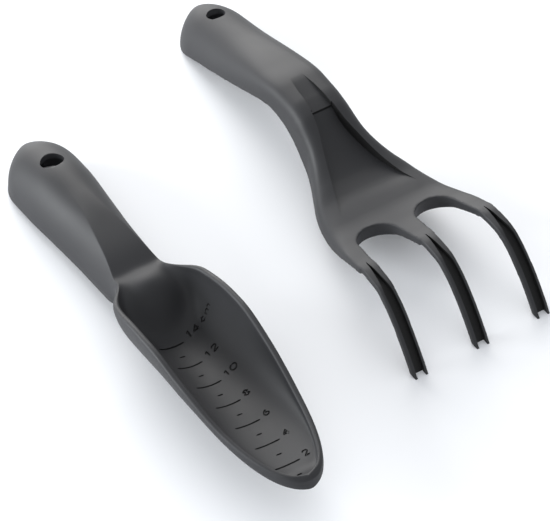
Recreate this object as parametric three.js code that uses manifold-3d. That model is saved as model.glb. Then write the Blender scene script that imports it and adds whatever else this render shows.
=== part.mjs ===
// A two-piece set of moulded plastic hand tools: a deep scoop trowel and a three-tine cultivator.
// Millimetres, +Z up. Both tools lie along Y with their tips towards -Y and rest on the ground.
import * as THREE from 'three';
import { mergeVertices } from 'three/addons/utils/BufferGeometryUtils.js';
import Module from 'manifold-3d';

// Trowel, in its own frame: y is the distance back from the tip, z is the height above the scoop floor.
const TROWEL_LENGTH = 303;
const TROWEL_WALL = 3;
const TROWEL_END_WALL = 7;
const BLADE_HALF_WIDTH = 28.8;
const BLADE_ROUND_LENGTH = 115;
const RIM_LIP = 4;
const TIP_BLUNTNESS = 2.25;
const TIP_SQUARENESS = 0.45;
const TONGUE_LENGTH = 12;
const SCOOP_TO_HANDLE = [148, 182];
const HANDLE_HOLLOW_FRONT = 156;
const END_CAP_HEIGHT = 12;
const DOME_LENGTH = 26;
const TROWEL_TILT_DEGREES = 11;
const TROWEL_X = -81.4;
const TROWEL_TIP_Y = -163;

// Cultivator: y is the distance back from the tips, z is the height above the ground.
const CULTIVATOR_LENGTH = 303;
const CULTIVATOR_WALL = 3.5;
const CULTIVATOR_X = 62.7;
const CULTIVATOR_TIP_Y = -114;
const TINE_SPACING = 41;
const TINE_SPACING_ROOT = 39;
const TINE_WIDTH = 9.5;
const TINE_THICKNESS = 4.6;
const TINE_GROOVE_WIDTH = 5.6;
const TINE_GROOVE_DEPTH = 3.2;
const GROOVE_END = 60;
const GAP_WALL = 3;
const GAP_WALL_DEPTH = 10;
const SHELL_FRONT = 56;
const SHELL_HOLLOW_FRONT = 68;
const HOLLOW_SQUARENESS = 0.6;
const TINE_ROOT = 60;
const SLOT_HALF_WIDTH_ROOT = 13;
const SLOT_END_FROM_TIP = 86;

// Hanging hole in the top of each handle.
const TROWEL_HOLE_HALF_WIDTH = 7.25;
const CULTIVATOR_HOLE_HALF_WIDTH = 5.8;
const HOLE_OVAL = 0.85;
const TROWEL_HOLE_FROM_TIP = 266;
const CULTIVATOR_HOLE_FROM_TIP = 279;
const HOLE_SIDES = 24;

// How far a cutting tool reaches past what it cuts.
const REACH = 60;

// Counts of straight steps round a half section: inside, rim lip, side and underside.
const HALF_RING = { top: 8, lip: 4, side: 7, bottom: 3 };

const wasm = await Module();
wasm.setup();

// A smooth curve through [position, value] pairs that never overshoots between two of them.
function smoothCurve(pairs) {
  const slopes = pairs.map((pair, i) => {
    if (i === 0 || i === pairs.length - 1) return 0;
    const before = (pair[1] - pairs[i - 1][1]) / (pair[0] - pairs[i - 1][0]);
    const after = (pairs[i + 1][1] - pair[1]) / (pairs[i + 1][0] - pair[0]);
    return before * after <= 0 ? 0 : (2 * before * after) / (before + after);
  });
  return (x) => {
    if (x <= pairs[0][0]) return pairs[0][1];
    const next = pairs.findIndex((pair) => pair[0] > x);
    if (next < 0) return pairs[pairs.length - 1][1];
    const [x0, y0] = pairs[next - 1];
    const [x1, y1] = pairs[next];
    const span = x1 - x0;
    const t = (x - x0) / span;
    const rise = t * t * (3 - 2 * t);
    return y0 + (y1 - y0) * rise
      + span * t * (1 - t) * ((1 - t) * slopes[next - 1] - t * slopes[next]);
  };
}

function mix(a, b, share) {
  return a + (b - a) * share;
}

// The share of the way from one position to another, eased at both ends.
function ease(from, to, x) {
  return THREE.MathUtils.smoothstep(x, Math.min(from, to), Math.max(from, to)) * (to > from ? 1 : -1)
    + (to > from ? 0 : 1);
}

// A closed geometry from rings of equal length, with a fan closing each end.
function loft(rings) {
  const size = rings[0].length;
  const positions = rings.flat(2);
  const index = [];
  for (let r = 0; r < rings.length - 1; r += 1) {
    for (let i = 0; i < size; i += 1) {
      const j = (i + 1) % size;
      const a = r * size + i;
      const b = r * size + j;
      index.push(a, b, b + size, a, b + size, a + size);
    }
  }
  for (const r of [0, rings.length - 1]) {
    const centre = [0, 1, 2].map((axis) => rings[r].reduce((sum, point) => sum + point[axis], 0) / size);
    const hub = positions.length / 3;
    positions.push(...centre);
    for (let i = 0; i < size; i += 1) {
      const a = r * size + i;
      const b = r * size + ((i + 1) % size);
      if (r === 0) index.push(hub, b, a);
      else index.push(hub, a, b);
    }
  }
  const geometry = new THREE.BufferGeometry();
  geometry.setAttribute('position', new THREE.Float32BufferAttribute(positions, 3));
  geometry.setIndex(index);
  return geometry;
}

function toSolid(geometry) {
  const bare = geometry.clone();
  bare.deleteAttribute('normal');
  bare.deleteAttribute('uv');
  const merged = mergeVertices(bare, 1e-4);
  const corners = merged.index.array;
  const kept = [];
  for (let i = 0; i < corners.length; i += 3) {
    const [a, b, c] = [corners[i], corners[i + 1], corners[i + 2]];
    if (a !== b && b !== c && c !== a) kept.push(a, b, c);
  }
  return new wasm.Manifold(new wasm.Mesh({
    numProp: 3,
    vertProperties: new Float32Array(merged.attributes.position.array),
    triVerts: new Uint32Array(kept),
  }));
}

function fromSolid(solid) {
  const mesh = solid.getMesh();
  const geometry = new THREE.BufferGeometry();
  geometry.setAttribute('position', new THREE.Float32BufferAttribute(mesh.vertProperties, 3));
  geometry.setIndex(Array.from(mesh.triVerts));
  return geometry;
}

// A ring from its right half: the half runs from the top centre point to the bottom centre point.
function mirroredRing(half, y) {
  const right = half.map(([x, z]) => [x, y, z]);
  const left = half.slice(1, -1).reverse().map(([x, z]) => [-x, y, z]);
  return [...right, ...left];
}

function steps(count, from = 0) {
  return Array.from({ length: count - from + 1 }, (_, i) => (i + from) / count);
}

// ---------------------------------------------------------------- trowel

// Share of the full width at y on the scoop's rounded front.
function roundedTip(y, length) {
  const left = 1 - THREE.MathUtils.clamp(y / length, 0, 1);
  return (1 - left ** 2) ** (1 / TIP_BLUNTNESS);
}

// Half width of the scoop at the inner (side -1) or outer (side 1) edge of its rim.
function rimHalf(y, side) {
  if (y >= BLADE_ROUND_LENGTH) return ridgeBack(y) + side * RIM_LIP / 2;
  const start = side > 0 ? 0 : RIM_LIP;
  const full = BLADE_HALF_WIDTH + side * RIM_LIP / 2;
  return full * roundedTip(y - start, BLADE_ROUND_LENGTH - start);
}

// Half width between the two rims of the scoop, and further back between the handle's creases.
const ridgeBack = smoothCurve([[115, 28.8], [140, 28], [152, 26.4], [161, 23.6], [169, 17.6],
  [178, 14], [196, 10.2], [228, 5.6], [300, 3.4]]);
const ridgeHeight = smoothCurve([[0, 0.6], [8, 2], [21, 4.5], [47, 10.5], [83, 24.5], [110, 33.3],
  [128, 34.5], [150, 33], [161, 34], [169, 38.5], [180, 42.5], [210, 47.5], [261, 57.5], [300, 59.5]]);
const floorHeight = smoothCurve([[0, 0.6], [12, 1.3], [60, 1], [134, 1], [143, 5], [154, 22],
  [161, 31.5], [170, 37.5],
  [182, 41.8], [205, 46], [228, 51.3], [261, 58], [300, 60]]);
const keelHeight = smoothCurve([[0, -5.5], [60, -TROWEL_WALL], [125, -TROWEL_WALL], [140, -2],
  [150, 1.5], [160, 6.5], [172, 12.5], [182, 15]]);
const handleTop = smoothCurve([[150, 40], [175, 43.5], [205, 47.3], [235, 51.2], [262, 54.3], [283, 53.2],
  [303, 50]]);
const handleEdge = smoothCurve([[150, 12.5], [178, 14.5], [275, 26.5], [300, 28]]);
const handleWide = smoothCurve([[150, 17.6], [178, 17.2], [205, 18], [235, 20.3], [262, 22.3], [300, 22.8]]);

// Height of the scoop's inside surface, which has a tongue in the middle of its back wall.
function scoopHeight(x, y) {
  const share = Math.min(Math.abs(x) / Math.max(rimHalf(y, -1), 0.01), 1);
  const middle = floorHeight(y - TONGUE_LENGTH * share * share);
  const floor = mix(ridgeHeight(y), middle, ease(RIM_LIP, 3 * RIM_LIP, y));
  return mix(floor, ridgeHeight(y), 1 - Math.sqrt(Math.max(1 - share * share, 0)));
}

function bladeHalf(y) {
  const outer = rimHalf(y, 1);
  const inner = rimHalf(y, -1);
  const rimZ = ridgeHeight(y);
  const lipRadius = Math.min((outer - inner) / 2, RIM_LIP / 2);
  const acrossLip = Math.max(0, 1 - y / RIM_LIP);
  const lipTop = rimZ + lipRadius * Math.sin(acrossLip * Math.PI);
  const keel = keelHeight(y);
  const power = mix(TIP_SQUARENESS, 1, ease(5, 70, y));
  const half = [];
  for (const t of steps(HALF_RING.top)) {
    const x = inner * Math.sin(t * Math.PI / 2);
    half.push([x, y > RIM_LIP ? scoopHeight(x, y) : lipTop]);
  }
  for (const t of steps(HALF_RING.lip, 1)) {
    const angle = t * Math.PI;
    const lift = Math.sin(mix(acrossLip, 1, t) * Math.PI);
    half.push([mix(inner, outer, (1 - Math.cos(angle)) / 2), rimZ + lipRadius * lift]);
  }
  for (const t of steps(HALF_RING.side + HALF_RING.bottom, 1)) {
    const angle = t * Math.PI / 2;
    const out = Math.max(Math.cos(angle), 0) ** power;
    half.push([outer * out, mix(rimZ, keel, Math.sin(angle) ** power)]);
  }
  return half;
}

// Width and height shares left at a place on the rounded end of the handle.
function domeShare(fromEnd) {
  const t = THREE.MathUtils.clamp(1 - fromEnd / DOME_LENGTH, 0, 1);
  const least = 0.0004;
  return {
    width: Math.sqrt(Math.max(1 - t * t, least)),
    height: Math.sqrt(Math.max(1 - t ** 3, least)),
  };
}

function handleHalf(y) {
  const dome = domeShare(TROWEL_LENGTH - y);
  const base = handleWide(y) * dome.width;
  const edge = handleEdge(y);
  const topZ = mix(edge + END_CAP_HEIGHT, handleTop(y), dome.height);
  const rise = topZ - edge;
  const crease = Math.asin(Math.min(ridgeBack(y) / handleWide(y), 0.85));
  const creaseX = base * Math.sin(crease);
  const creaseZ = edge + rise * Math.cos(crease);
  const facet = 1 - ease(210, 240, y);
  const half = [];
  for (const t of steps(HALF_RING.top)) {
    const round = edge + rise * Math.cos(crease * t);
    const hollow = mix(Math.min(floorHeight(y), creaseZ), creaseZ, t * t);
    half.push([creaseX * t, mix(round, hollow, facet)]);
  }
  for (const t of steps(HALF_RING.lip + HALF_RING.side, 1)) {
    const angle = mix(crease, Math.PI / 2, t);
    half.push([base * Math.sin(angle), edge + rise * Math.cos(angle)]);
  }
  for (const t of steps(HALF_RING.bottom, 1)) {
    half.push([base * (1 - t), edge]);
  }
  return half;
}

function trowelHalf(y) {
  const blade = bladeHalf(y);
  const handle = handleHalf(y);
  const share = ease(SCOOP_TO_HANDLE[0], SCOOP_TO_HANDLE[1], y);
  return blade.map(([x, z], i) => [mix(x, handle[i][0], share), mix(z, handle[i][1], share)]);
}

function trowelStations() {
  const rounded = steps(9).map((t) => BLADE_ROUND_LENGTH * (1 - Math.cos(t * Math.PI / 2)) * 0.72);
  const middle = [92, 103, 115, 126, 136, 144, 150, 155, 160, 165, 170, 175, 181, 190, 202, 216, 230, 246,
    260];
  const dome = steps(6).map((t) => TROWEL_LENGTH - DOME_LENGTH * (1 - Math.sin(t * Math.PI / 2)));
  return [0.15, ...rounded.slice(1), ...middle, ...dome];
}

// The hollow under the handle, open below, that ends under the slope down into the scoop.
function handleHollow() {
  const front = HANDLE_HOLLOW_FRONT;
  const back = TROWEL_LENGTH - TROWEL_END_WALL;
  const length = back - front;
  const rings = steps(18).map((t) => {
    const y = front + length * (1 - Math.cos(t * Math.PI)) / 2;
    const outside = trowelHalf(Math.min(y + TROWEL_WALL * ease(262, 270, y), TROWEL_LENGTH - 0.2));
    const edge = handleEdge(y);
    const inside = outside.slice(0, HALF_RING.top + 1);
    const ceiling = Math.min(...inside.map((point) => point[1])) - TROWEL_WALL;
    const widest = Math.max(...outside.map((point) => point[0])) - TROWEL_WALL;
    const half = Math.max(widest * Math.min(1, 0.55 + (y - front) / 50), 0.5);
    const roof = Math.max(ceiling, edge - 14);
    const points = steps(6).map((s) => {
      const angle = s * Math.PI / 2;
      return [half * Math.sin(angle), mix(edge - 12, roof, Math.cos(angle) ** 0.8)];
    });
    return mirroredRing([...points, [half, -20], [0, -20]], y);
  });
  return toSolid(loft(rings));
}

function hangingHole(y, bottom, top, halfWidth) {
  const post = new THREE.CylinderGeometry(halfWidth, halfWidth, top - bottom, HOLE_SIDES);
  post.rotateX(Math.PI / 2);
  post.scale(1, HOLE_OVAL, 1);
  post.translate(0, y, (top + bottom) / 2);
  return toSolid(post);
}

function trowelGeometry() {
  const body = toSolid(loft(trowelStations().map((y) => mirroredRing(trowelHalf(y), y))));
  const hole = hangingHole(TROWEL_HOLE_FROM_TIP, 36, 80, TROWEL_HOLE_HALF_WIDTH);
  return fromSolid(body.subtract(handleHollow()).subtract(hole));
}

// ---------------------------------------------------------------- cultivator

// Heights above the ground of the top line and of the lowest edge, by distance back from the tips.
const topLine = smoothCurve([[-2, 0], [3, 6], [9.8, 14.5], [19.5, 25], [29.5, 33.2], [40, 38], [51, 38.6],
  [66, 34.5], [82, 29.5], [98, 26.5], [112, 26.5], [126, 29.5], [140, 35.5], [152, 42], [163, 47.5],
  [174, 49.5], [186, 49.5], [210, 45.8], [250, 36], [281, 28], [303, 23.5]]);
const edgeLine = smoothCurve([[50, 33.2], [58, 31.5], [66, 28.4], [74, 24.6], [82, 20], [98, 13.5],
  [112, 11],
  [126, 11], [140, 13.5], [152, 18], [165, 26], [178, 31.5], [190, 33], [200, 31], [215, 25.6],
  [250, 13.4], [275, 5], [290, 0], [303, 0]]);
const outlineHalf = smoothCurve([[0, 45.8], [45, 45.4], [66, 44], [87, 40.5], [103, 37], [118, 32.5],
  [130, 27], [140, 22.5], [150, 19.5], [164, 18], [178, 17.5], [205, 18.5], [250, 20.5], [303, 21.5]]);
const recessHalf = smoothCurve([[96, 28], [104, 25.5], [115, 21.5], [128, 17], [142, 12.5], [155, 8.5],
  [166, 7], [200, 6]]);
const recessDepth = smoothCurve([[94, 0], [106, 0.7], [117, 2.8], [128, 5.4], [142, 7], [153, 6.6],
  [164, 4.2]]);

function cultivatorHalf(y) {
  const dome = domeShare(CULTIVATOR_LENGTH - y);
  const base = outlineHalf(y) * dome.width;
  const edge = edgeLine(y);
  const topZ = mix(edge + 10, topLine(y), dome.height);
  const square = 1 - ease(178, 262, y) * 0.999;
  const half = steps(16).map((t) => {
    const angle = t * Math.PI / 2;
    const round = [Math.sin(angle), Math.cos(angle)];
    const power = mix(mix(1, 0.42, square), 0.1, ease(110, 62, y));
    return [base * round[0] ** power, edge + (topZ - edge) * round[1] ** power];
  });
  return [...half, ...steps(2, 1).map((t) => [base * (1 - t), edge])];
}

// The shell from the handle end to the webs between the tines.
function shellSolid() {
  const dome = steps(6).map((t) => CULTIVATOR_LENGTH - DOME_LENGTH * (1 - Math.sin(t * Math.PI / 2)));
  const stations = [SHELL_FRONT, 60, 66, 74, 82, 90, 98, 106, 114, 122, 130, 138, 146, 154, 162, 170, 180,
    192, 206, 224,
    244, 262, ...dome];
  return toSolid(loft(stations.map((y) => mirroredRing(cultivatorHalf(y), y))));
}

// The hollow under the shell, open below.
function shellHollow() {
  const stations = [SHELL_HOLLOW_FRONT, 76, 84, 96, 108, 120, 132, 142, 152, 162, 172, 184, 200, 222, 244,
    262, 274, 284, 293,
    CULTIVATOR_LENGTH - CULTIVATOR_WALL];
  const rings = stations.map((y) => {
    const towardsEnd = y + CULTIVATOR_WALL * ease(262, 274, y);
    const outside = cultivatorHalf(Math.min(towardsEnd, CULTIVATOR_LENGTH - 0.2));
    const widest = Math.max(...outside.map((point) => point[0])) - CULTIVATOR_WALL;
    const roof = outside[0][1] - CULTIVATOR_WALL - recessDepth(y) * (y < 165 ? 1 : 0) * ease(200, 160, y);
    const low = edgeLine(y) - 5;
    const points = steps(8).map((t) => {
      const angle = t * Math.PI / 2;
      const across = Math.max(widest, 0.5) * Math.sin(angle) ** HOLLOW_SQUARENESS;
      const up = Math.max(Math.cos(angle), 0) ** HOLLOW_SQUARENESS;
      return [across, mix(low, Math.max(roof, low + 1), up)];
    });
    return mirroredRing([...points, [Math.max(widest, 0.5), -30], [0, -30]], y);
  });
  return toSolid(loft(rings));
}

// An outline of [y, z] points in the side view, drawn out to a given half width.
function sideSlab(outline, halfWidth) {
  const shape = new THREE.Shape(outline.map(([y, z]) => new THREE.Vector2(y, z)));
  const slab = new THREE.ExtrudeGeometry(shape, { depth: 2 * halfWidth, bevelEnabled: false });
  slab.translate(0, 0, -halfWidth);
  slab.rotateY(Math.PI / 2);
  slab.rotateX(Math.PI / 2);
  return toSolid(slab);
}

// An outline of [x, y] points in the plan view, drawn out through the whole height.
function planSlab(outline, floor) {
  const shape = new THREE.Shape(outline.map(([x, y]) => new THREE.Vector2(x, y)));
  const slab = new THREE.ExtrudeGeometry(shape, { depth: 100 - floor, bevelEnabled: false });
  slab.translate(0, 0, floor);
  return toSolid(slab);
}

// The side view of a band that follows the top line, between two depths measured square to it.
function bandOutline(from, to, upperDepth, lowerDepth) {
  const places = steps(20).map((t) => mix(from, to, t));
  const sunk = (y, depth) => {
    const slope = topLine(y + 0.5) - topLine(y - 0.5);
    const length = Math.hypot(1, slope);
    return [y + depth * slope / length, topLine(y) - depth / length];
  };
  const upper = places.map((y) => sunk(y, upperDepth(y)));
  const lower = places.map((y) => sunk(y, lowerDepth(y))).reverse();
  return [...upper, ...lower];
}

function tineCentre(side, y) {
  return side * mix(TINE_SPACING, TINE_SPACING_ROOT, ease(0, SLOT_END_FROM_TIP, y));
}

// Plan outline of a strip along one tine, from half widths given at distances back from the tips.
function strip(side, widths) {
  const right = widths.map(([y, half]) => [tineCentre(side, y) + half, y]);
  const left = widths.map(([y, half]) => [tineCentre(side, y) - half, y]).reverse();
  return [...right, ...left];
}

function tineBars() {
  const band = sideSlab(bandOutline(-5, TINE_ROOT, () => 0.1, () => TINE_THICKNESS), REACH);
  const widths = [[-12, TINE_WIDTH / 2], [20, TINE_WIDTH / 2], [40, TINE_WIDTH / 2], [78, TINE_WIDTH / 2]];
  return [-1, 0, 1].map((side) => planSlab(strip(side, widths), 0).intersect(band));
}

function tineGrooves() {
  const groove = bandOutline(-10, GROOVE_END, () => -6, (y) => TINE_GROOVE_DEPTH * ease(GROOVE_END, 54, y));
  const band = sideSlab(groove, REACH);
  const half = TINE_GROOVE_WIDTH / 2;
  const widths = [[-14, half], [20, half], [34, half], [45, half * 0.5], [GROOVE_END - 2, 0.2]];
  return [-1, 0, 1].map((side) => planSlab(strip(side, widths), -REACH).intersect(band));
}

// Plan of the gap between two tines, made larger all round by grow, down to a given floor.
function gap(side, grow, floor) {
  const middle = side * TINE_SPACING_ROOT / 2;
  const end = SLOT_END_FROM_TIP - SLOT_HALF_WIDTH_ROOT;
  const wide = (TINE_SPACING - TINE_WIDTH) / 2 + grow;
  const radius = SLOT_HALF_WIDTH_ROOT + grow;
  const round = steps(10).map((t) => {
    const angle = t * Math.PI;
    return [middle + radius * Math.cos(angle), end + radius * Math.sin(angle)];
  });
  const outer = side * (TINE_SPACING / 2);
  return planSlab([[outer + wide, 30], [outer + wide, 50], ...round, [outer - wide, 50], [outer - wide, 30]],
    floor);
}

// The wall that turns down around the gap's round end, under the palm.
function gapWall(side) {
  const wall = sideSlab(bandOutline(58, 94, () => 1, () => GAP_WALL_DEPTH), REACH);
  return wall.intersect(gap(side, GAP_WALL, 0));
}

function neckRecess() {
  const deep = sideSlab(bandOutline(94, 164, () => -8, recessDepth), 40);
  const places = steps(10).map((t) => mix(94, 164, t));
  const outline = [...places.map((y) => [recessHalf(y), y]),
    ...places.map((y) => [-recessHalf(y), y]).reverse()];
  const shallow = sideSlab(bandOutline(160, 200, () => -8, (y) => 2.6 * ease(192, 168, y)), 40);
  const narrow = [[-6.8, 160], [6.8, 160], [5.6, 180], [3, 198], [-3, 198], [-5.6, 180]];
  return deep.intersect(planSlab(outline, -REACH)).add(shallow.intersect(planSlab(narrow, -REACH)));
}

function cultivatorGeometry() {
  let hollow = shellHollow();
  for (const side of [-1, 1]) hollow = hollow.subtract(gapWall(side));
  let body = shellSolid().subtract(hollow);
  for (const side of [-1, 1]) body = body.subtract(gap(side, 0, -REACH));
  for (const bar of tineBars()) body = body.add(bar);
  for (const groove of tineGrooves()) body = body.subtract(groove);
  const hole = hangingHole(CULTIVATOR_HOLE_FROM_TIP, 10, 60, CULTIVATOR_HOLE_HALF_WIDTH);
  return fromSolid(body.subtract(neckRecess()).subtract(hole));
}

// ---------------------------------------------------------------- export

function plastic(shade) {
  return new THREE.MeshStandardMaterial({ color: shade, roughness: 0.62, metalness: 0 });
}

function layOnGround(mesh) {
  mesh.updateMatrixWorld(true);
  const low = new THREE.Box3().setFromObject(mesh, true).min.z;
  mesh.position.z -= low;
}

function makeTrowel() {
  const mesh = new THREE.Mesh(trowelGeometry(), plastic(0x4c4d51));
  mesh.name = 'trowel';
  mesh.rotation.x = -THREE.MathUtils.degToRad(TROWEL_TILT_DEGREES);
  mesh.position.set(TROWEL_X, TROWEL_TIP_Y, 0);
  layOnGround(mesh);
  return mesh;
}

function makeCultivator() {
  const mesh = new THREE.Mesh(cultivatorGeometry(), plastic(0x4c4d51));
  mesh.name = 'cultivator';
  mesh.position.set(CULTIVATOR_X, CULTIVATOR_TIP_Y, 0);
  return mesh;
}

// The set stands with the middle of its base at the origin.
function centreOnGround(group) {
  group.updateMatrixWorld(true);
  const box = new THREE.Box3().setFromObject(group, true);
  const middle = box.getCenter(new THREE.Vector3());
  group.position.set(-middle.x, -middle.y, -box.min.z);
  return group;
}

const set = new THREE.Group();
set.add(makeTrowel());
set.add(makeCultivator());
centreOnGround(set);
export default set;
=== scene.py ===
"""Two moulded plastic garden hand tools: a scoop trowel and a three-tine cultivator.

Outlines are worked out in millimetres in each tool's own frame: x across the tool, y back from
its tip, z up. The finished meshes are in metres in the CAD frame.
"""
import math

import bmesh
import bpy
from mathutils import Matrix, Vector


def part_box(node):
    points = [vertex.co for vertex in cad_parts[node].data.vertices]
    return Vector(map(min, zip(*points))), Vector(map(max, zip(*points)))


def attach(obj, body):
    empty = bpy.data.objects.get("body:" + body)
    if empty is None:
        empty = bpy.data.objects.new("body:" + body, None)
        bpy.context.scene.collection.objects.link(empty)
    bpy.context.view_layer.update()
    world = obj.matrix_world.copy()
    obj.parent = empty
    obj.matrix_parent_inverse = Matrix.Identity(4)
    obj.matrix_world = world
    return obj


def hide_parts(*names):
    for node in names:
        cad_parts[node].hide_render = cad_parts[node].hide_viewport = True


MM = 0.001

# Trowel
TROWEL_LENGTH = 303
TROWEL_WALL = 3
TROWEL_END_WALL = 7
BLADE_HALF_WIDTH = 28.8
BLADE_ROUND_LENGTH = 115
TIP_BLUNTNESS = 2.25
TIP_SQUARENESS = 0.45
TONGUE_LENGTH = 12
RIM_LIP = 4
DOME_LENGTH = 26
TROWEL_TILT = math.radians(11)
TROWEL_HOLE_FROM_TIP = 266
TROWEL_END_CAP = 12
EDGE_BEAD_WIDTH = 0.9
EDGE_BEAD_HEIGHT = 1.6
SCOOP_TO_HANDLE = (148, 182)
FACET_FADE = (205, 245)

# Cultivator
CULTIVATOR_LENGTH = 303
CULTIVATOR_WALL = 3.5
TINE_SPACING = 41
TINE_SPACING_ROOT = 39
TINE_WIDTH = 9.5
TINE_THICKNESS = 4.6
TINE_GROOVE_WIDTH = 5.6
TINE_GROOVE_DEPTH = 3.2
GROOVE_END = 60
GAP_WALL = 3
GAP_WALL_DEPTH = 10
SLOT_HALF_WIDTH_ROOT = 13
SLOT_END_FROM_TIP = 86
CULTIVATOR_HOLE_FROM_TIP = 279
CULTIVATOR_END_CAP = 10
TINE_START, TINE_END = -5, 60
GAP_WALL_START, GAP_WALL_END = 58, 94
RECESS_START, RECESS_END = 94, 164
STEP_START, STEP_END, STEP_DEPTH = 160, 200, 2.6

# Hanging holes
TROWEL_HOLE_HALF_WIDTH = 7.25
CULTIVATOR_HOLE_HALF_WIDTH = 5.8
HOLE_OVAL = 0.85
HOLE_FLARE = 1.2

# How far cutting bodies reach past the tool
PAST_THE_SIDES = 60
PAST_THE_NECK = 40
FAR_BELOW = -60
ABOVE_THE_TOP = 100
ABOVE_THE_GROOVE = -6
ABOVE_THE_RECESS = -8

# Fineness of the meshes
RING_TOP, RING_LIP, RING_SIDE, RING_EDGE, RING_INNER = 30, 16, 28, 8, 24
VOXEL = 0.5 * MM
SMOOTH_PASSES = 22
TROWEL_SMOOTH_PASSES = 8
MOST_TRIANGLES = 190_000
SHARP_ANGLE = math.radians(50)

# Camera: where it aims on the ground, and how it sees the set
CAMERA_AIM = Vector((1.8, -12.4, 0.0)) * MM
CAMERA_AZIMUTH = math.radians(-32.48)
CAMERA_ELEVATION = math.radians(48)
CAMERA_DISTANCE = 1.8
CAMERA_LENS = 208.5
CAMERA_SENSOR = 36

# Colours, from the darker to the lighter end of each material, and how rough it is
PLASTIC = ((0.0148, 0.0151, 0.017), (0.0216, 0.022, 0.0247), 0.58)
ENGRAVING = ((0.002, 0.002, 0.002), (0.004, 0.004, 0.004), 0.8)
# Painted shade: a near-black colour put on the tine grooves and on the walls of the neck's recess and step,
# where only shade falls
PAINTED_SHADE = ((0.003, 0.003, 0.003), (0.006, 0.006, 0.006), 0.7)

# Sizes of the plastic's patterns, as repeats to the metre
CLOUD_SCALE, SPECK_SCALE, GRAIN_SCALE, WAVE_SCALE = 22, 1400, 2600, 60

# Studio: the floor's colour and side in metres, the sky, and each lamp's name, place, size, power and colour
FLOOR_COLOUR = (0.93, 0.94, 0.96)
FLOOR_SIDE = 8
SKY_COLOUR = (0.95, 0.97, 1.0)
SKY_STRENGTH = 0.78
LAMPS = (("key", (0.5, 2.0, 0.8), 2.0, 55, (1, 0.99, 0.97)),
         ("side_fill", (-1.9, 1.0, 0.5), 1.2, 55, (0.95, 0.98, 1)))


# ---------------------------------------------------------------- number helpers

def mix(a, b, share):
    return a + (b - a) * share


def ease(start, end, x):
    """The share of the way from start to end, eased at both ends."""
    t = min(max((x - start) / (end - start), 0), 1)
    return t * t * (3 - 2 * t)


def steps(count, first=0):
    return [i / count for i in range(first, count + 1)]


def smooth_curve(*pairs):
    """A smooth curve through (position, value) pairs that never overshoots between two of them."""
    gradients = [(b[1] - a[1]) / (b[0] - a[0]) for a, b in zip(pairs, pairs[1:])]
    slopes = [0]
    for before, after in zip(gradients, gradients[1:]):
        slopes.append(2 * before * after / (before + after) if before * after > 0 else 0)
    slopes.append(0)

    def value(x):
        if x <= pairs[0][0]:
            return pairs[0][1]
        if x >= pairs[-1][0]:
            return pairs[-1][1]
        i = next(k for k in range(len(pairs) - 1) if pairs[k + 1][0] > x)
        span = pairs[i + 1][0] - pairs[i][0]
        t = (x - pairs[i][0]) / span
        rise = t * t * (3 - 2 * t)
        bend = t * (1 - t) * ((1 - t) * slopes[i] - t * slopes[i + 1])
        return mix(pairs[i][1], pairs[i + 1][1], rise) + span * bend

    return value


# ---------------------------------------------------------------- mesh helpers

def new_object(name, vertices, faces):
    mesh = bpy.data.meshes.new(name)
    mesh.from_pydata([Vector(v) * MM for v in vertices], [], faces)
    mesh.validate()
    piece = bpy.data.objects.new(name, mesh)
    bpy.context.scene.collection.objects.link(piece)
    return piece


def tidy(piece):
    """Merges doubled vertices and turns every face outwards."""
    work = bmesh.new()
    work.from_mesh(piece.data)
    bmesh.ops.remove_doubles(work, verts=work.verts, dist=0.002 * MM)
    bmesh.ops.dissolve_degenerate(work, edges=work.edges, dist=0.001 * MM)
    bmesh.ops.recalc_face_normals(work, faces=work.faces)
    work.to_mesh(piece.data)
    work.free()
    return piece


def loft(name, rings):
    """A closed body through rings of equal length, with a fan closing each end."""
    size = len(rings[0])
    vertices = [point for ring in rings for point in ring]
    faces = []
    for r in range(len(rings) - 1):
        for i in range(size):
            a = r * size + i
            b = r * size + (i + 1) % size
            faces.append((a, b, b + size, a + size))
    for r in (0, len(rings) - 1):
        hub = len(vertices)
        vertices.append(tuple(sum(p[k] for p in rings[r]) / size for k in range(3)))
        faces += [(hub, r * size + i, r * size + (i + 1) % size) for i in range(size)]
    return tidy(new_object(name, vertices, faces))


def mirrored_ring(half, y):
    """A ring from its right half, which runs from the top centre point to the bottom centre point."""
    return [(x, y, z) for x, z in half] + [(-x, y, z) for x, z in reversed(half[1:-1])]


def slab(name, outline, spread, place):
    """An outline drawn out between two distances; place turns (u, v, distance) into x, y, z."""
    count = len(outline)
    vertices = [place(u, v, spread[0]) for u, v in outline]
    vertices += [place(u, v, spread[1]) for u, v in outline]
    faces = [tuple(range(count)), tuple(range(count, 2 * count))]
    faces += [(i, (i + 1) % count, count + (i + 1) % count, count + i) for i in range(count)]
    return tidy(new_object(name, vertices, faces))


def side_slab(name, outline, half_width):
    return slab(name, outline, (-half_width, half_width), lambda y, z, x: (x, y, z))


def plan_slab(name, outline, floor):
    return slab(name, outline, (floor, ABOVE_THE_TOP), lambda x, y, z: (x, y, z))


def apply_modifiers(piece):
    seen = piece.evaluated_get(bpy.context.evaluated_depsgraph_get())
    mesh = bpy.data.meshes.new_from_object(seen)
    piece.modifiers.clear()
    old = piece.data
    piece.data = mesh
    bpy.data.meshes.remove(old)
    return piece


def cut(piece, tool, operation="DIFFERENCE"):
    """Joins, cuts or intersects piece with tool, which is used up."""
    modifier = piece.modifiers.new("cut", "BOOLEAN")
    modifier.object = tool
    modifier.operation = operation
    modifier.solver = "MANIFOLD"
    modifier.material_mode = "TRANSFER"
    apply_modifiers(piece)
    bpy.data.objects.remove(tool)
    return piece


def paint(piece, material):
    """Gives every face of the piece one material."""
    piece.data.materials.clear()
    piece.data.materials.append(material)
    return piece


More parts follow.
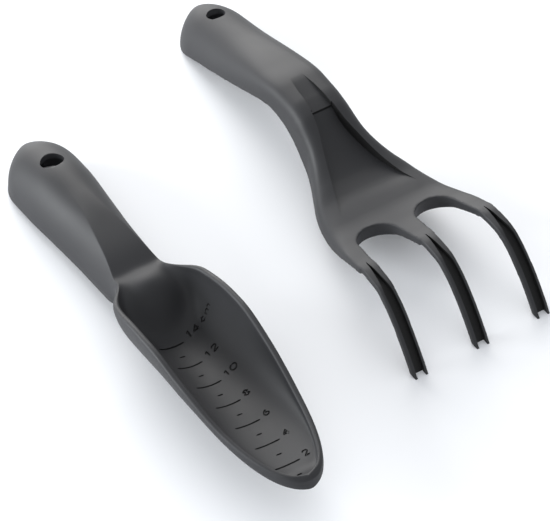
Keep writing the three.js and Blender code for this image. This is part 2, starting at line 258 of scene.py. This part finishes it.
def hole_tool(y, bottom, top, wall_top, radius, oval):
    """An oval post that flares at the wall's top face, which leaves the hole's edge rounded."""
    flare_start = wall_top - HOLE_FLARE
    profile = [(radius, bottom), (radius, flare_start)]
    profile += [(radius + HOLE_FLARE * (1 - math.cos(t * math.pi / 2)),
                 flare_start + HOLE_FLARE * math.sin(t * math.pi / 2)) for t in steps(6, 1)]
    profile.append((radius + HOLE_FLARE, top))
    sides = 64
    turns = [2 * math.pi * i / sides for i in range(sides)]
    rings = [[(r * math.cos(a), y + r * oval * math.sin(a), z) for a in turns] for r, z in profile]
    return loft("hole_tool", rings)


# ---------------------------------------------------------------- trowel

ridge_back = smooth_curve((115, 28.8), (140, 28), (152, 26.4), (161, 23.6), (169, 17.6),
                          (178, 14), (196, 10.2), (228, 5.6), (300, 3.4))
ridge_height = smooth_curve((0, 0.6), (8, 2), (21, 4.5), (47, 10.5), (83, 24.5), (110, 33.3),
                            (128, 34.5), (150, 33), (161, 34), (169, 38.5), (180, 42.5),
                            (210, 47.5), (261, 57.5), (300, 59.5))
floor_height = smooth_curve((0, 0.6), (12, 1.3), (60, 1), (134, 1), (143, 5), (154, 22),
                            (161, 31.5), (170, 37.5), (182, 41.8), (205, 46), (228, 51.3),
                            (261, 58), (300, 60))
keel_height = smooth_curve((0, -5.5), (60, -TROWEL_WALL), (125, -TROWEL_WALL), (140, -2),
                           (150, 1.5), (160, 6.5), (172, 12.5), (182, 15))
handle_top = smooth_curve((150, 40), (175, 43.5), (205, 47.3), (235, 51.2), (262, 54.3),
                          (283, 53.2), (303, 50))
handle_edge = smooth_curve((150, 12.5), (178, 14.5), (275, 26.5), (300, 28))
handle_wide = smooth_curve((150, 17.6), (178, 17.2), (205, 18), (235, 20.3), (262, 22.3), (300, 22.8))


def rounded_tip(y, length):
    """Share of the full width at y on the scoop's rounded front."""
    return (1 - (1 - min(max(y / length, 0), 1)) ** 2) ** (1 / TIP_BLUNTNESS)


def rim_half(y, side):
    """Half width of the scoop at the inner (side -1) or outer (side 1) edge of its rim."""
    if y >= BLADE_ROUND_LENGTH:
        return ridge_back(y) + side * RIM_LIP / 2
    start = 0 if side > 0 else RIM_LIP
    full = BLADE_HALF_WIDTH + side * RIM_LIP / 2
    return full * rounded_tip(y - start, BLADE_ROUND_LENGTH - start)


def scoop_height(x, y):
    """Height of the scoop's inside surface, which has a tongue in the middle of its back wall."""
    share = min(abs(x) / max(rim_half(y, -1), 0.01), 1)
    floor = mix(ridge_height(y), floor_height(y - TONGUE_LENGTH * share * share),
                ease(RIM_LIP, 3 * RIM_LIP, y))
    return mix(floor, ridge_height(y), 1 - math.sqrt(max(1 - share * share, 0)))


def blade_half(y):
    """Right half of the scoop's section: inside, rounded rim, outside down to the keel."""
    inner = rim_half(y, -1)
    outer = rim_half(y, 1)
    rim_z = ridge_height(y)
    lip = min((outer - inner) / 2, RIM_LIP / 2)
    across = max(0, 1 - y / RIM_LIP)
    half = []
    for t in steps(RING_TOP):
        angle = t * math.pi / 2
        if y > RIM_LIP:
            across_scoop = inner * math.sin(angle)
            half.append((across_scoop, scoop_height(across_scoop, y)))
        else:
            half.append((0, rim_z + lip * math.sin(across * math.pi)))
    for t in steps(RING_LIP, 1):
        lift = math.sin(mix(across, 1, t) * math.pi)
        half.append((mix(inner, outer, (1 - math.cos(t * math.pi)) / 2), rim_z + lip * lift))
    arc = [0.7 * t for t in steps(RING_SIDE, 1)]
    arc += [mix(0.7, 1, t) for t in steps(RING_EDGE + RING_INNER, 1)]
    power = mix(TIP_SQUARENESS, 1, ease(5, 70, y))
    for t in arc:
        angle = t * math.pi / 2
        out = max(math.cos(angle), 0) ** power
        half.append((outer * out, mix(rim_z, keel_height(y), math.sin(angle) ** power)))
    return half


def dome(from_end, length):
    """Width and height shares left at a place on the rounded end of the handle."""
    t = min(max(1 - from_end / length, 0), 1)
    return math.sqrt(max(1 - t * t, 0.0004)), math.sqrt(max(1 - t ** 3, 0.0004))


def handle_half(y):
    """Right half of the handle's section: facet, side, lower edge and the hollow underneath."""
    width_share, height_share = dome(TROWEL_LENGTH - y, DOME_LENGTH)
    base = handle_wide(y) * width_share
    edge = handle_edge(y)
    rise = mix(edge + TROWEL_END_CAP, handle_top(y), height_share) - edge
    crease = math.asin(min(ridge_back(y) / handle_wide(y), 0.85))
    crease_z = edge + rise * math.cos(crease)
    facet = 1 - ease(*FACET_FADE, y)
    half = []
    for t in steps(RING_TOP):
        hollow = mix(min(floor_height(y), crease_z), crease_z, t * t)
        rounded = edge + rise * math.cos(crease * t)
        half.append((base * math.sin(crease) * t, mix(rounded, hollow, facet)))
    for t in steps(RING_LIP + RING_SIDE, 1):
        angle = mix(crease, math.pi / 2, t)
        z = edge + rise * math.cos(angle)
        half.append((base * math.sin(angle) + edge_bead(z - edge, width_share), z))
    return half + handle_underside(y, base, edge, rise, crease_z)


def edge_bead(above_edge, share):
    """How far the thin bead along the handle's lower edge stands out."""
    return EDGE_BEAD_WIDTH * share * math.exp(-(above_edge / EDGE_BEAD_HEIGHT) ** 2)


def handle_underside(y, base, edge, rise, crease_z):
    """The section from the lower edge in and up to the middle of the hollow's roof."""
    inner_end = TROWEL_LENGTH - TROWEL_END_WALL
    width_share, height_share = dome(inner_end - y, DOME_LENGTH - TROWEL_END_WALL)
    if y >= inner_end:
        width_share = height_share = 0
    outside = base + edge_bead(0, 1 if y < inner_end else 0)
    inside = min((handle_wide(y) - TROWEL_WALL) * width_share, max(outside - TROWEL_WALL, 0))
    roof = min(floor_height(y), crease_z, edge + rise) - TROWEL_WALL
    ceiling = mix(edge, max(roof, edge), height_share)
    half = [(mix(outside, inside, t), edge - 0.4 * math.sin(t * math.pi)) for t in steps(RING_EDGE, 1)]
    for t in steps(RING_INNER, 1):
        angle = t * math.pi / 2
        half.append((inside * math.cos(angle), mix(edge, ceiling, math.sin(angle) ** 0.8)))
    return half


def trowel_rings():
    """The trowel's sections from tip to handle end, which turn from the scoop's into the handle's."""
    tip = [12 * (1 - math.cos(t * math.pi / 2)) + 0.02 for t in steps(24)]
    middle = [mix(12, TROWEL_LENGTH - DOME_LENGTH, t) for t in steps(190, 1)]
    rounded = [TROWEL_LENGTH - DOME_LENGTH * (1 - math.sin(t * math.pi / 2)) for t in steps(40, 1)]
    rings = []
    for y in tip + middle + rounded:
        share = ease(*SCOOP_TO_HANDLE, y)
        pairs = zip(blade_half(y), handle_half(max(y, 120)))
        half = [(mix(a[0], b[0], share), mix(a[1], b[1], share)) for a, b in pairs]
        rings.append(mirrored_ring(half, y))
    return rings


def scoop_point(x, y):
    """The point of the scoop's inside surface at x and y."""
    return x, y, scoop_height(x, y)


# ---------------------------------------------------------------- scale in the scoop

SCALE_STEP = 10
SCALE_FIRST_BACK = 3.5
SCALE_LAST = 14
LONG_MARK = (-12, 3.6)
SHORT_MARK = (-5, -1.5)
STROKE = 0.58
DIGIT_SIZE = (3.6, 4)
LETTER_SIZE = (2.7, 4)
CHARACTER_GAP = 0.9
LABEL_START = 6.6

ARC_0 = [(0.5 + 0.5 * math.sin(t * 2 * math.pi), 0.5 + 0.5 * math.cos(t * 2 * math.pi))
         for t in steps(16)]
GLYPHS = {
    "0": [ARC_0],
    "1": [[(0.2, 0.75), (0.55, 1), (0.55, 0)]],
    "2": [[(0.05, 0.75), (0.3, 1), (0.75, 0.95), (0.85, 0.65), (0.1, 0), (0.95, 0)]],
    "4": [[(0.7, 0), (0.7, 1), (0.05, 0.3), (1, 0.3)]],
    "6": [[(0.75, 1), (0.3, 0.7), (0.08, 0.3), (0.3, 0), (0.75, 0.02), (0.9, 0.3),
           (0.7, 0.55), (0.2, 0.5)]],
    "8": [[(0.46, 0.55), (0.12, 0.77), (0.5, 1), (0.88, 0.77), (0.56, 0.57)],
          [(0.44, 0.5), (0.04, 0.25), (0.5, 0), (0.96, 0.25), (0.58, 0.48)]],
    "c": [[(0.9, 0.55), (0.5, 0.68), (0.1, 0.35), (0.5, 0), (0.9, 0.12)]],
    "m": [[(0, 0), (0, 0.65)], [(0, 0.5), (0.25, 0.67), (0.5, 0.5), (0.5, 0)],
          [(0.5, 0.5), (0.78, 0.67), (1, 0.5), (1, 0)]],
}


def scale_strokes():
    """Every line of the scale as a list of (x, y) places in the scoop."""
    strokes = []
    for number in range(1, SCALE_LAST + 1):
        y = number * SCALE_STEP - SCALE_FIRST_BACK
        if number % 2:
            strokes.append([(mix(*SHORT_MARK, t), y) for t in steps(4)])
            continue
        strokes.append([(mix(*LONG_MARK, t), y) for t in steps(16)])
        label = str(number) + (" cm" if number == SCALE_LAST else "")
        strokes += label_strokes(label, LABEL_START, y)
    return strokes


def label_strokes(label, x, y):
    strokes = []
    for character in label:
        if character == " ":
            x += CHARACTER_GAP
            continue
        width, height = DIGIT_SIZE if character.isdigit() else LETTER_SIZE
        for line in GLYPHS[character]:
            strokes.append([(x + u * width, y + v * height) for u, v in line])
        x += width + CHARACTER_GAP
    return strokes


def stroke_tool(line):
    """A round rod along a stroke of the scale, sunk half way into the scoop's surface."""
    points = []
    for (x0, y0), (x1, y1) in zip(line, line[1:]):
        pieces = max(1, round(math.dist((x0, y0), (x1, y1)) / 0.8))
        points += [(mix(x0, x1, i / pieces), mix(y0, y1, i / pieces)) for i in range(pieces)]
    points.append(line[-1])
    spine = [Vector(scoop_point(x, y)) for x, y in points]
    rings = []
    for i, point in enumerate(spine):
        along = (spine[min(i + 1, len(spine) - 1)] - spine[max(i - 1, 0)]).normalized()
        across = along.cross(Vector((0, 0, 1))).normalized()
        up = across.cross(along)
        size = STROKE * (0.35 if i in (0, len(spine) - 1) else 1)
        rings.append([point + size * (math.cos(a) * across + math.sin(a) * up)
                      for a in (math.pi * k / 4 for k in range(8))])
    return loft("stroke_tool", rings)


def scale_tool(ink):
    """All the strokes of the scale as one body, whose material stays on the faces it cuts."""
    tools = [stroke_tool(line) for line in scale_strokes()]
    whole = tools[0]
    for tool in tools[1:]:
        cut(whole, tool, "UNION")
    return paint(whole, ink)


def make_trowel(surface, ink):
    piece = loft("trowel_moulding", trowel_rings())
    smooth = piece.modifiers.new("smooth", "SMOOTH")
    smooth.factor = 0.5
    smooth.iterations = TROWEL_SMOOTH_PASSES
    paint(apply_modifiers(piece), surface)
    cut(piece, scale_tool(ink))
    cut(piece, hole_tool(TROWEL_HOLE_FROM_TIP, 30, 80, handle_top(TROWEL_HOLE_FROM_TIP),
                         TROWEL_HOLE_HALF_WIDTH, HOLE_OVAL))
    return piece


# ---------------------------------------------------------------- cultivator

top_line = smooth_curve((-2, 0), (3, 6), (9.8, 14.5), (19.5, 25), (29.5, 33.2), (40, 38), (51, 38.6),
                        (66, 34.5), (82, 29.5), (98, 26.5), (112, 26.5), (126, 29.5), (140, 35.5),
                        (152, 42), (163, 47.5), (174, 49.5), (186, 49.5), (210, 45.8), (250, 36),
                        (281, 28), (303, 23.5))
edge_line = smooth_curve((50, 33.2), (58, 31.5), (66, 28.4), (74, 24.6), (82, 20), (98, 13.5),
                         (112, 11), (126, 11), (140, 13.5), (152, 18), (165, 26), (178, 31.5),
                         (190, 33), (200, 31), (215, 25.6), (250, 13.4), (275, 5), (290, 0), (303, 0))
outline_half = smooth_curve((0, 45.8), (45, 45.4), (66, 44), (87, 40.5), (103, 37), (118, 32.5),
                            (130, 27), (140, 22.5), (150, 19.5), (164, 18), (178, 17.5),
                            (205, 18.5), (250, 20.5), (303, 21.5))
recess_half = smooth_curve((96, 28), (104, 25.5), (115, 21.5), (128, 17), (142, 12.5), (155, 8.5),
                           (166, 7), (200, 6))
recess_depth = smooth_curve((94, 0), (106, 0.7), (117, 2.8), (128, 5.4), (142, 7), (153, 6.6),
                            (164, 4.2))


def cultivator_half(y):
    """Right half of the shell's outside section, down to its lowest edge and in to the middle."""
    width_share, height_share = dome(CULTIVATOR_LENGTH - y, DOME_LENGTH)
    base = outline_half(y) * width_share
    edge = edge_line(y)
    top = mix(edge + CULTIVATOR_END_CAP, top_line(y), height_share)
    square = 1 - ease(178, 262, y) * 0.999
    power = mix(mix(1, 0.42, square), 0.1, ease(110, 62, y))
    half = []
    for t in steps(60):
        angle = t * math.pi / 2
        across = max(math.sin(angle), 0) ** power
        up = max(math.cos(angle), 0) ** power
        half.append((base * across, edge + (top - edge) * up))
    return half + [(base * (1 - t), edge) for t in steps(8, 1)]


def shell_body():
    """The shell from the webs between the tines to the handle's end."""
    straight = [mix(56, CULTIVATOR_LENGTH - DOME_LENGTH, t) for t in steps(150)]
    rounded = [CULTIVATOR_LENGTH - DOME_LENGTH * (1 - math.sin(t * math.pi / 2))
               for t in steps(24, 1)]
    return loft("shell", [mirrored_ring(cultivator_half(y), y) for y in straight + rounded])


def shell_hollow():
    """The hollow under the shell, open below."""
    rings = []
    for share in steps(110):
        y = mix(68, CULTIVATOR_LENGTH - CULTIVATOR_WALL, math.sin(share * math.pi / 2))
        back = min(y + CULTIVATOR_WALL * ease(262, 274, y), CULTIVATOR_LENGTH - 0.2)
        outside = cultivator_half(back)
        widest = max(max(x for x, z in outside) - CULTIVATOR_WALL, 0.5)
        sunk = recess_depth(y) * ease(200, 160, y) if y < 165 else 0
        low = edge_line(y) - 5
        roof = max(outside[0][1] - CULTIVATOR_WALL - sunk, low + 1)
        half = []
        for t in steps(30):
            angle = t * math.pi / 2
            across = max(math.sin(angle), 0) ** 0.6
            half.append((widest * across, mix(low, roof, max(math.cos(angle), 0) ** 0.6)))
        rings.append(mirrored_ring(half + [(widest, -30), (0, -30)], y))
    return loft("shell_hollow", rings)


def band_outline(start, end, upper_depth, lower_depth):
    """Side view of a band that follows the top line, between two depths measured square to it."""
    places = [mix(start, end, t) for t in steps(70)]

    def sunk(y, depth):
        slope = top_line(y + 0.5) - top_line(y - 0.5)
        length = math.hypot(1, slope)
        return y + depth * slope / length, top_line(y) - depth / length

    upper = [sunk(y, upper_depth(y)) for y in places]
    lower = [sunk(y, lower_depth(y)) for y in reversed(places)]
    return upper + lower


def tine_centre(side, y):
    return side * mix(TINE_SPACING, TINE_SPACING_ROOT, ease(0, SLOT_END_FROM_TIP, y))


def strip(side, widths):
    """Plan outline of a strip along one tine, from half widths at distances back from the tips."""
    right = [(tine_centre(side, y) + half, y) for y, half in widths]
    left = [(tine_centre(side, y) - half, y) for y, half in reversed(widths)]
    return right + left


def tine_bar(side):
    outline = band_outline(TINE_START, TINE_END, lambda y: 0.1, lambda y: TINE_THICKNESS)
    band = side_slab("tine_bar", outline, PAST_THE_SIDES)
    half = TINE_WIDTH / 2
    widths = [(y, half) for y in (-12, 0, 10, 20, 30, 40, 50, 60, 70, 78)]
    return cut(band, plan_slab("tine_strip", strip(side, widths), 0), "INTERSECT")


def tine_groove(side):
    outline = band_outline(-10, GROOVE_END, lambda y: ABOVE_THE_GROOVE,
                           lambda y: TINE_GROOVE_DEPTH * ease(GROOVE_END, 54, y))
    band = side_slab("tine_groove", outline, PAST_THE_SIDES)
    half = TINE_GROOVE_WIDTH / 2
    widths = [(-14, half), (0, half), (15, half), (30, half), (34, half), (45, half * 0.5),
              (GROOVE_END - 2, 0.2)]
    return cut(band, plan_slab("tine_strip", strip(side, widths), FAR_BELOW), "INTERSECT")


def gap_outline(side, grow):
    """Plan outline of the gap between two tines, made larger all round by grow."""
    middle = side * TINE_SPACING_ROOT / 2
    end = SLOT_END_FROM_TIP - SLOT_HALF_WIDTH_ROOT
    outer = side * TINE_SPACING / 2
    wide = (TINE_SPACING - TINE_WIDTH) / 2 + grow
    radius = SLOT_HALF_WIDTH_ROOT + grow
    outline = [(outer + wide, 30), (outer + wide, 50)]
    for t in steps(40):
        angle = t * math.pi
        outline.append((middle + radius * math.cos(angle), end + radius * math.sin(angle)))
    return outline + [(outer - wide, 50), (outer - wide, 30)]


def gap_wall(side):
    """The wall that turns down around the gap's round end, under the palm."""
    outline = band_outline(GAP_WALL_START, GAP_WALL_END, lambda y: 1, lambda y: GAP_WALL_DEPTH)
    wall = side_slab("gap_wall", outline, PAST_THE_SIDES)
    return cut(wall, plan_slab("gap_wall_plan", gap_outline(side, GAP_WALL), 0), "INTERSECT")


def neck_recess(surface, shade):
    """The deep recess between the side rails of the neck. Its floor takes surface, and its side walls take
    shade, a near-black painted shade.
    """
    places = [mix(RECESS_START, RECESS_END, t) for t in steps(50)]
    outline = [(recess_half(y), y) for y in places]
    outline += [(-recess_half(y), y) for y in reversed(places)]
    band = band_outline(RECESS_START, RECESS_END, lambda y: ABOVE_THE_RECESS, recess_depth)
    deep = side_slab("neck_recess", band, PAST_THE_NECK)
    plan = plan_slab("recess_plan", outline, FAR_BELOW)
    return cut(paint(deep, surface), paint(plan, shade), "INTERSECT")


def neck_step(surface, shade):
    """The shallow step that carries the recess on towards the handle. Its side walls take shade, a
    near-black painted shade.
    """
    outline = [(-6.8, 160), (6.8, 160), (5.6, 180), (3, 198), (-3, 198), (-5.6, 180)]
    band = band_outline(STEP_START, STEP_END, lambda y: ABOVE_THE_RECESS,
                        lambda y: STEP_DEPTH * ease(192, 168, y))
    shallow = side_slab("neck_step", band, PAST_THE_NECK)
    plan = plan_slab("step_plan", outline, FAR_BELOW)
    return cut(paint(shallow, surface), paint(plan, shade), "INTERSECT")


def soften(piece, voxel, passes, most_faces):
    """Rounds every edge a little, as a moulding's are, and thins the mesh to a sensible size."""
    remesh = piece.modifiers.new("remesh", "REMESH")
    remesh.mode = "VOXEL"
    remesh.voxel_size = voxel
    smooth = piece.modifiers.new("smooth", "SMOOTH")
    smooth.factor = 0.5
    smooth.iterations = passes
    apply_modifiers(piece)
    triangles = 2 * len(piece.data.polygons)
    if triangles > most_faces:
        thin = piece.modifiers.new("thin", "DECIMATE")
        thin.ratio = most_faces / triangles
        apply_modifiers(piece)
    return piece


def make_cultivator(surface, shade):
    piece = shell_body()
    hollow = shell_hollow()
    for side in (-1, 1):
        cut(hollow, gap_wall(side))
    cut(piece, hollow)
    for side in (-1, 1):
        cut(piece, plan_slab("gap", gap_outline(side, 0), FAR_BELOW))
    for side in (-1, 0, 1):
        cut(piece, tine_bar(side), "UNION")
    soften(piece, VOXEL * (1), SMOOTH_PASSES, MOST_TRIANGLES)
    paint(piece, surface)
    # The tine grooves take shade, a near-black painted shade standing in for the dark inside of each channel
    for side in (-1, 0, 1):
        cut(piece, paint(tine_groove(side), shade))
    cut(piece, neck_recess(surface, shade))
    cut(piece, neck_step(surface, shade))
    cut(piece, hole_tool(CULTIVATOR_HOLE_FROM_TIP, 8, 60, top_line(CULTIVATOR_HOLE_FROM_TIP),
                         CULTIVATOR_HOLE_HALF_WIDTH, HOLE_OVAL))
    return piece


# ---------------------------------------------------------------- placing

def mesh_box(piece):
    points = [v.co for v in piece.data.vertices]
    low = Vector([min(p[k] for p in points) for k in range(3)])
    high = Vector([max(p[k] for p in points) for k in range(3)])
    return low, high


def settle(piece, name, node):
    """Puts the piece where its CAD node is, no larger than it, and has it ride on that node's body."""
    low, high = mesh_box(piece)
    cad_low, cad_high = (Vector(corner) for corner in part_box(node))
    shrink = [min(1, (cad_high[k] - cad_low[k]) / (high[k] - low[k])) for k in range(3)]
    piece.data.transform(Matrix.Diagonal((*shrink, 1)))
    low, high = mesh_box(piece)
    move = (cad_low + cad_high - low - high) / 2
    move.z = cad_low.z - low.z
    piece.data.transform(Matrix.Translation(move))
    piece.name = name
    piece.data.name = name
    piece.data.shade_smooth()
    piece.data.set_sharp_from_angle(angle=SHARP_ANGLE)
    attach(piece, node)
    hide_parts(node)
    return piece


# ---------------------------------------------------------------- materials

def node(tree, kind, **settings):
    made = tree.nodes.new(kind)
    for key, value in settings.items():
        setattr(made, key, value)
    return made


def noise(tree, coordinates, scale, detail):
    made = node(tree, "ShaderNodeTexNoise")
    made.inputs["Scale"].default_value = scale
    made.inputs["Detail"].default_value = detail
    tree.links.new(coordinates, made.inputs["Vector"])
    return made.outputs["Fac"]


def spread(tree, value, low, high, out_low, out_high):
    made = node(tree, "ShaderNodeMapRange")
    ends = {"From Min": low, "From Max": high, "To Min": out_low, "To Max": out_high}
    for socket, number in ends.items():
        made.inputs[socket].default_value = number
    tree.links.new(value, made.inputs["Value"])
    return made.outputs["Result"]


def moulded_plastic(name, dark, light, roughness):
    """Matt moulded plastic: a very fine grain, faint cloudy shade and slightly polished patches."""
    material = bpy.data.materials.new(name)
    material.use_nodes = True
    tree = material.node_tree
    shader = tree.nodes["Principled BSDF"]
    place = node(tree, "ShaderNodeTexCoord").outputs["Object"]

    cloud = noise(tree, place, CLOUD_SCALE, 4)
    speck = noise(tree, place, SPECK_SCALE, 2)
    shade = node(tree, "ShaderNodeMix", data_type="RGBA")
    shade.inputs["A"].default_value = (*dark, 1)
    shade.inputs["B"].default_value = (*light, 1)
    blend = node(tree, "ShaderNodeMath", operation="MULTIPLY_ADD")
    blend.inputs[1].default_value = 0.35
    tree.links.new(speck, blend.inputs[0])
    tree.links.new(spread(tree, cloud, 0.3, 0.7, 0, 0.65), blend.inputs[2])
    tree.links.new(blend.outputs[0], shade.inputs["Factor"])
    tree.links.new(shade.outputs["Result"], shader.inputs["Base Color"])

    tree.links.new(spread(tree, cloud, 0.3, 0.7, roughness - 0.04, roughness + 0.05),
                   shader.inputs["Roughness"])
    grain = noise(tree, place, GRAIN_SCALE, 3)
    waves = noise(tree, place, WAVE_SCALE, 1)
    bump = node(tree, "ShaderNodeBump")
    bump.inputs["Strength"].default_value = 0.22
    bump.inputs["Distance"].default_value = 0.05 * MM
    tree.links.new(grain, bump.inputs["Height"])
    ripple = node(tree, "ShaderNodeBump")
    ripple.inputs["Strength"].default_value = 0.25
    ripple.inputs["Distance"].default_value = 0.35 * MM
    tree.links.new(waves, ripple.inputs["Height"])
    tree.links.new(bump.outputs["Normal"], ripple.inputs["Normal"])
    tree.links.new(ripple.outputs["Normal"], shader.inputs["Normal"])
    shader.inputs["Specular IOR Level"].default_value = 0.45
    return material


# ---------------------------------------------------------------- stage, light and camera

def make_floor(pale):
    bpy.ops.mesh.primitive_grid_add(x_subdivisions=8, y_subdivisions=8, size=FLOOR_SIDE)
    floor = bpy.context.object
    floor.name = "floor"
    material = bpy.data.materials.new("floor_paper")
    material.use_nodes = True
    tree = material.node_tree
    shader = tree.nodes["Principled BSDF"]
    shader.inputs["Base Color"].default_value = (*pale, 1)
    shader.inputs["Roughness"].default_value = 0.9
    floor.data.materials.append(material)


def make_light(name, place, size, power, colour):
    data = bpy.data.lights.new(name, "AREA")
    data.shape = "DISK"
    data.size = size
    data.energy = power
    data.color = colour
    lamp = bpy.data.objects.new(name, data)
    lamp.location = place
    lamp.rotation_euler = (CAMERA_AIM - Vector(place)).to_track_quat("-Z", "Y").to_euler()
    bpy.context.scene.collection.objects.link(lamp)


def make_world(colour, strength):
    world = bpy.data.worlds.new("studio")
    world.use_nodes = True
    background = world.node_tree.nodes["Background"]
    background.inputs["Color"].default_value = (*colour, 1)
    background.inputs["Strength"].default_value = strength
    bpy.context.scene.world = world


def make_camera():
    data = bpy.data.cameras.new("camera")
    data.lens = CAMERA_LENS
    data.sensor_width = CAMERA_SENSOR
    camera = bpy.data.objects.new("camera", data)
    back = Vector((math.sin(CAMERA_AZIMUTH) * math.cos(CAMERA_ELEVATION),
                   -math.cos(CAMERA_AZIMUTH) * math.cos(CAMERA_ELEVATION),
                   math.sin(CAMERA_ELEVATION)))
    camera.location = CAMERA_AIM + back * CAMERA_DISTANCE
    camera.rotation_euler = (-back).to_track_quat("-Z", "Y").to_euler()
    bpy.context.scene.collection.objects.link(camera)
    bpy.context.scene.camera = camera


# ---------------------------------------------------------------- scene

bpy.context.scene.view_settings.view_transform = "Standard"
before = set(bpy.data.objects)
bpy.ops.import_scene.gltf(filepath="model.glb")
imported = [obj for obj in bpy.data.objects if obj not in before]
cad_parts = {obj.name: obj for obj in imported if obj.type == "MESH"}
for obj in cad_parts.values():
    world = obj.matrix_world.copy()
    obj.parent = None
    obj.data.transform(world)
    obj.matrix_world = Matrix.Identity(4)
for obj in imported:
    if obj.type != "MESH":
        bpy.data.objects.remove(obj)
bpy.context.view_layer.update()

plastic = moulded_plastic("anthracite_plastic", *PLASTIC)
engraving = moulded_plastic("engraving_black", *ENGRAVING)
painted_shade_material = moulded_plastic("painted_groove_shade", *PAINTED_SHADE)

trowel = make_trowel(plastic, engraving)
trowel.data.transform(Matrix.Rotation(-TROWEL_TILT, 4, "X"))
settle(trowel, "trowel_moulding", "trowel")

cultivator = make_cultivator(plastic, painted_shade_material)
settle(cultivator, "cultivator_moulding", "cultivator")

make_floor(FLOOR_COLOUR)
make_world(SKY_COLOUR, SKY_STRENGTH)
for lamp in LAMPS:
    make_light(*lamp)
make_camera()
